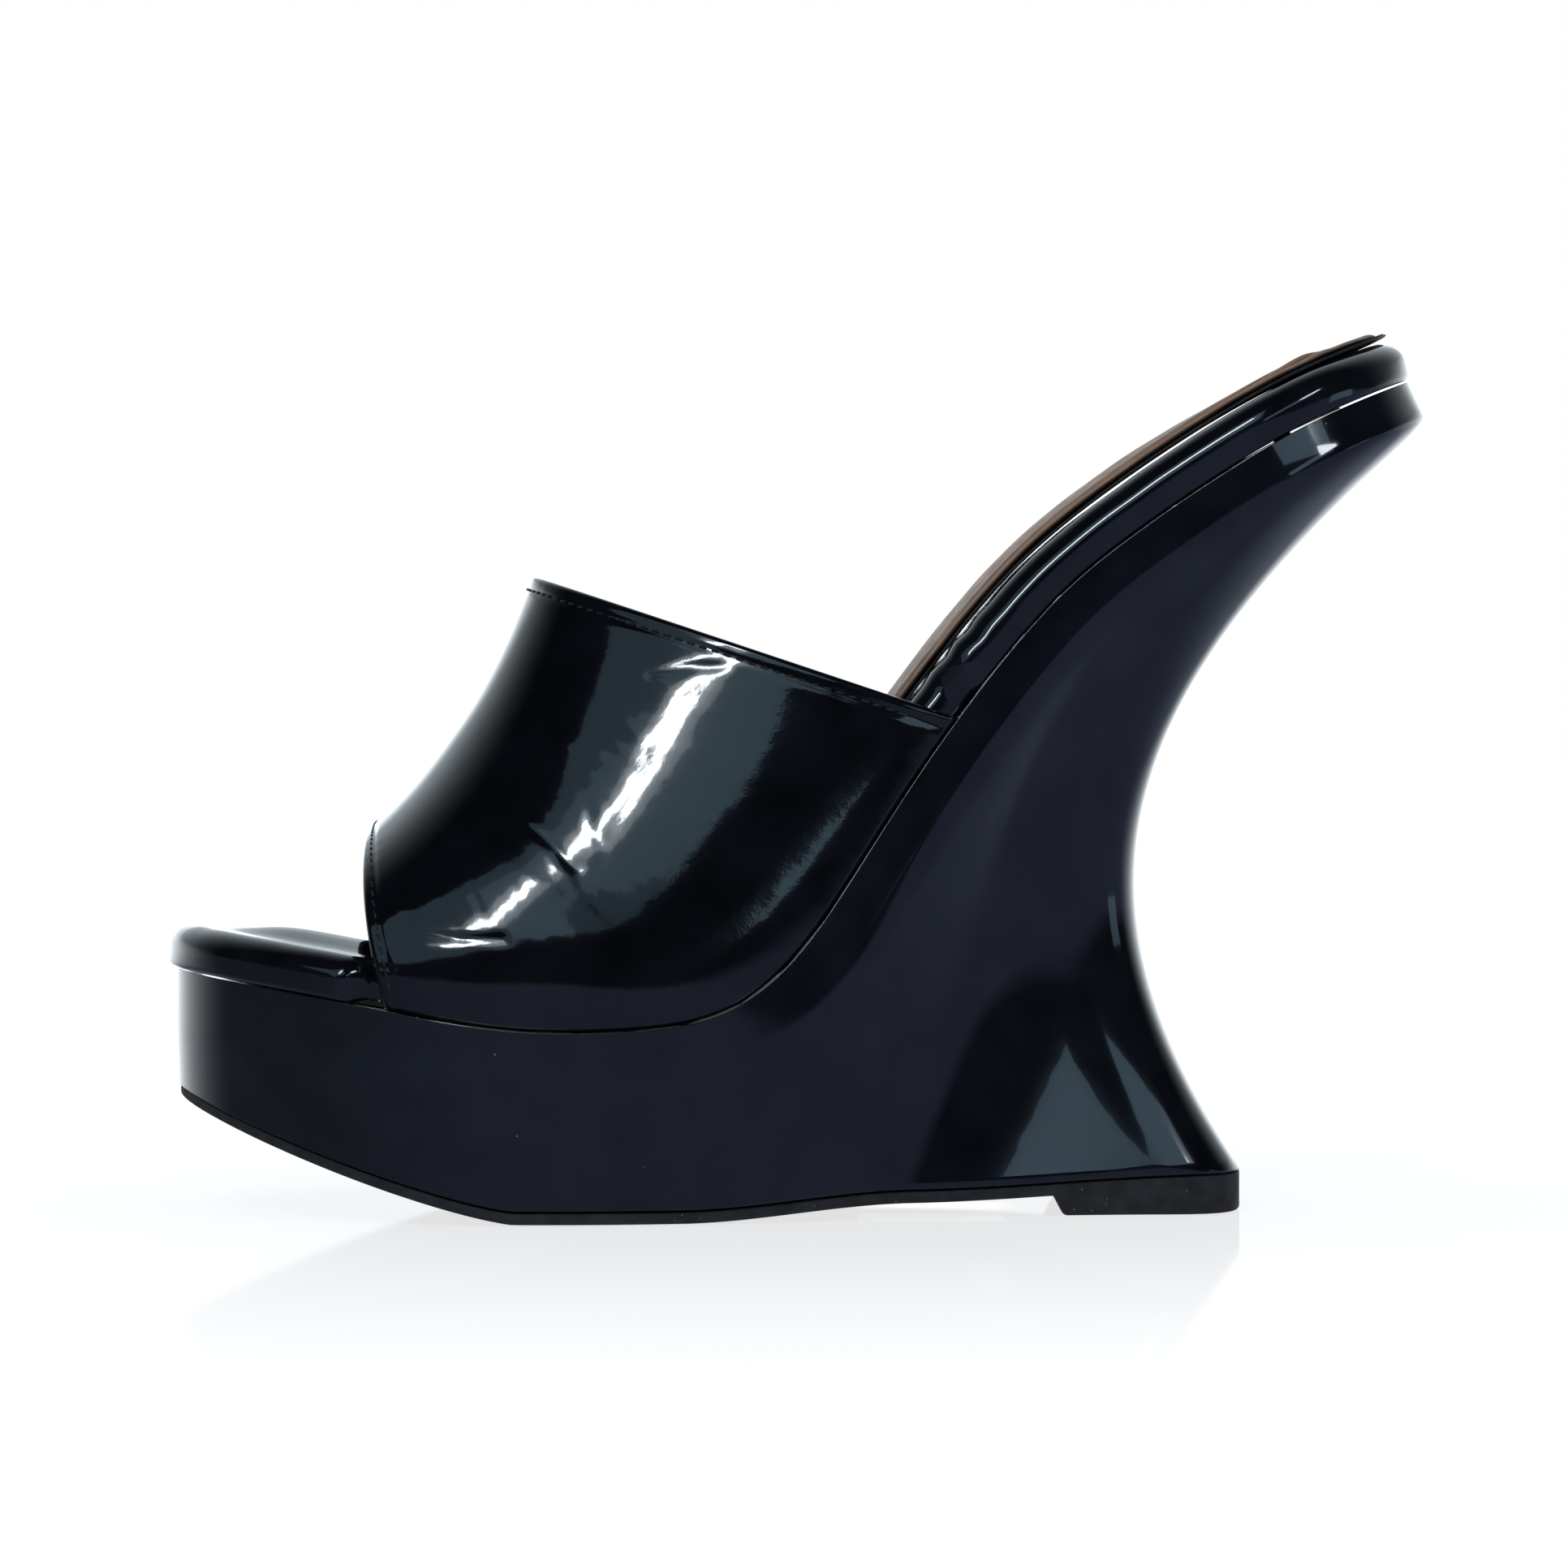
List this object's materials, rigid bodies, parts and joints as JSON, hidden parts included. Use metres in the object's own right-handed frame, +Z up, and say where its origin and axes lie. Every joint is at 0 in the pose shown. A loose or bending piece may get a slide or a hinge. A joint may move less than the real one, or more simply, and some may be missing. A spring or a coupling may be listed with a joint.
{
  "type": "platform wedge mule",
  "caption": "Open-toed platform mule with a sculpted, flared wedge heel, a padded footbed and a wide one-piece vamp, for the left foot.",
  "frame": {"origin": "bottom centre of the shoe's box, on the ground it stands on", "axes": "+X from toe to heel, +Y to the inner side of the foot, +Z up"},
  "size_m": [0.2052, 0.086, 0.1417],
  "materials": {
    "moulded_core": "matte moulded",
    "patent_cover": "high-gloss black patent",
    "filler": "cork and foam filler",
    "fibre_board": "pressed fibre",
    "steel": "plain steel",
    "foam": "soft foam",
    "patent_rim": "high-gloss black patent, softly padded",
    "sock_edge": "black cut edge",
    "sock_face": "tan leatherette with a light sheen",
    "patent_vamp": "high-gloss black patent, finely creased",
    "interlining": "non-woven",
    "vamp_lining": "matte black lining",
    "thread": "black bonded thread",
    "sole_rubber": "matte speckled rubber",
    "paper": "blank paper label"
  },
  "bodies": {
    "root": {"wedge_core": "moulded_core", "wedge_cover": "patent_cover", "bottom_filler": "filler", "insole_board": "fibre_board", "shank": "steel", "shank_rivet_front": "steel", "shank_rivet_rear": "steel", "heel_screw": "steel", "heel_nail_1": "steel", "heel_nail_2": "steel", "heel_nail_3": "steel", "heel_nail_4": "steel", "footbed_foam": "foam", "footbed_wrap": "patent_rim", "sock_backing": "sock_edge", "sock_cushion": "foam", "sock_lining": "sock_face", "vamp_outer": "patent_vamp", "vamp_interlining": "interlining", "vamp_lining": "vamp_lining", "front_stitching": "thread", "rear_stitching": "thread", "outsole": "sole_rubber", "size_label": "paper"}
  },
  "joints": []
}
